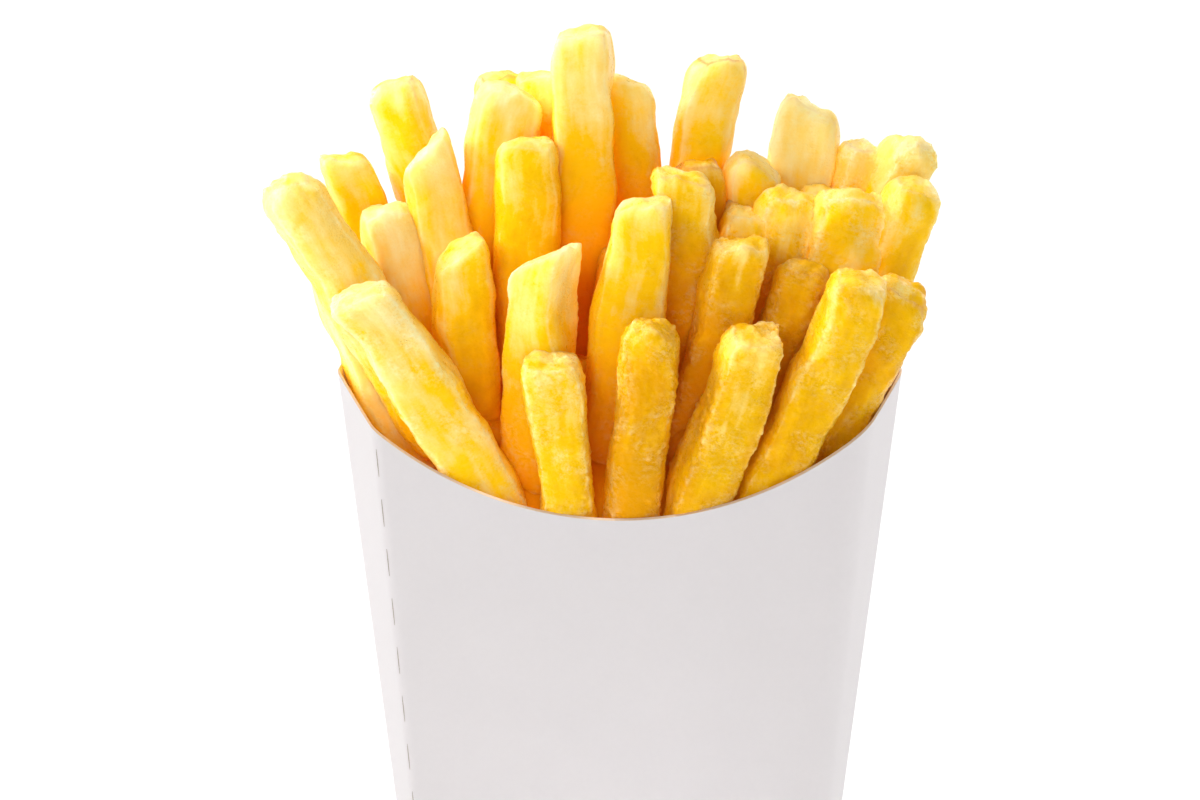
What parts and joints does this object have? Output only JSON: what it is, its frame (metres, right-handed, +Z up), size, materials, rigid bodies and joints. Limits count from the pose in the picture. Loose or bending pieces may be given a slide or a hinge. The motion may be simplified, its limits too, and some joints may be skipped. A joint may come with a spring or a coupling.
{
  "type": "french fries in a carton",
  "caption": "Thick-cut golden french fries standing in a fan in a plain white scoop carton with a low curved front rim and a tall rounded back.",
  "frame": {"origin": "middle of the carton's flat base, on the surface it stands on", "axes": "+Z up, low scooped front faces -Y, +X to the right of someone facing the front"},
  "size_m": [0.1117, 0.0453, 0.1528],
  "materials": {
    "board": "smooth white coated board, faint satin",
    "fried_potato": "fried, lightly oily, blistered"
  },
  "bodies": {
    "root": {"carton": "board", "fries": "fried_potato"}
  },
  "joints": []
}
